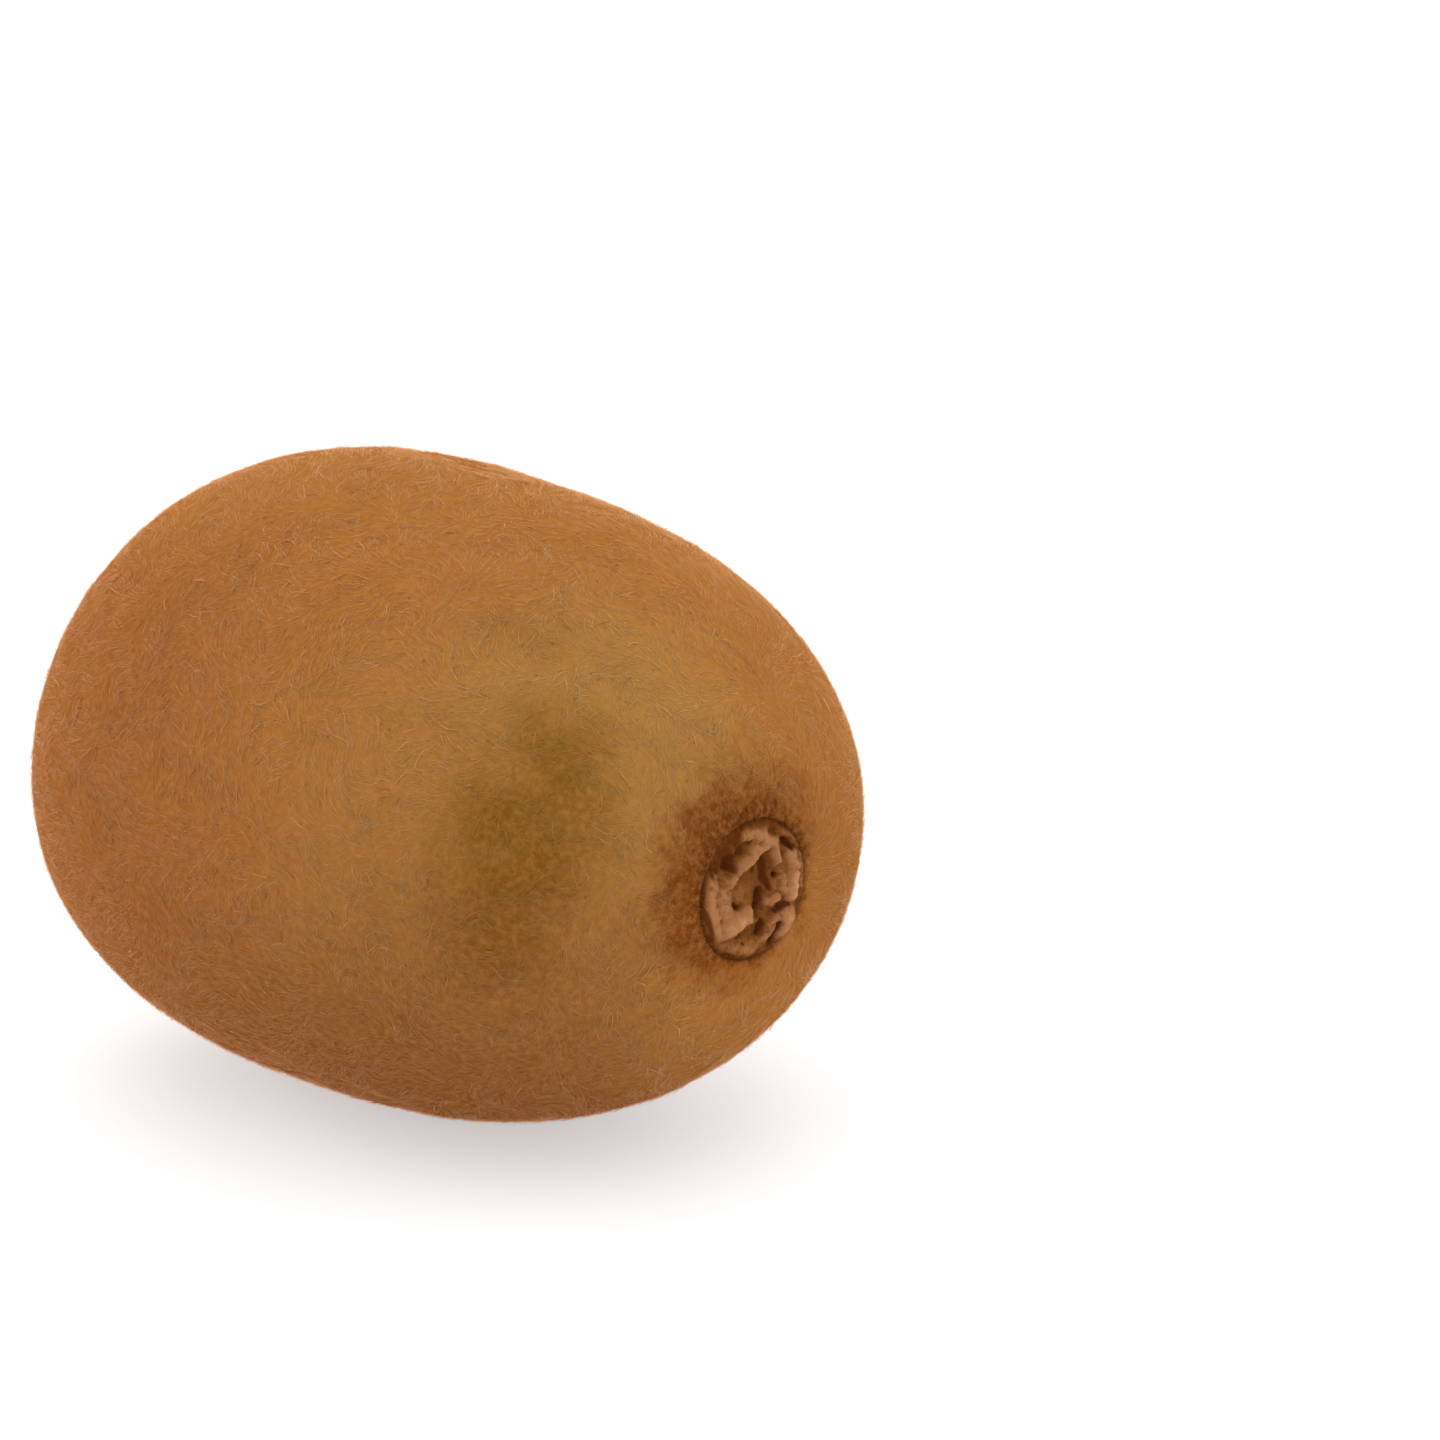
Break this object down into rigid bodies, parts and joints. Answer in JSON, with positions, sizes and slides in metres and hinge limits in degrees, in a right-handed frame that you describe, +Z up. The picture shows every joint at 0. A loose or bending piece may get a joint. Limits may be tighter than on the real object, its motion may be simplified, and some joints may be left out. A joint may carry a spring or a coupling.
{
  "type": "kiwi fruit",
  "caption": "Whole brown kiwi fruit lying on its side, with the dried calyx at its stem end and the dried styles at its blossom end.",
  "frame": {"origin": "middle of the underside of the whole fruit's box, on the surface that it lies on", "axes": "+X along the fruit to its stem end, +Y across it, +Z up"},
  "size_m": [0.0696, 0.0522, 0.048],
  "materials": {
    "skin": "matte, with short brown hairs",
    "dried_sepal": "matte, dry and corky",
    "dried_style": "matte, dry"
  },
  "bodies": {
    "root": {"fruit": "skin", "calyx": "dried_sepal", "styles": "dried_style"}
  },
  "joints": []
}
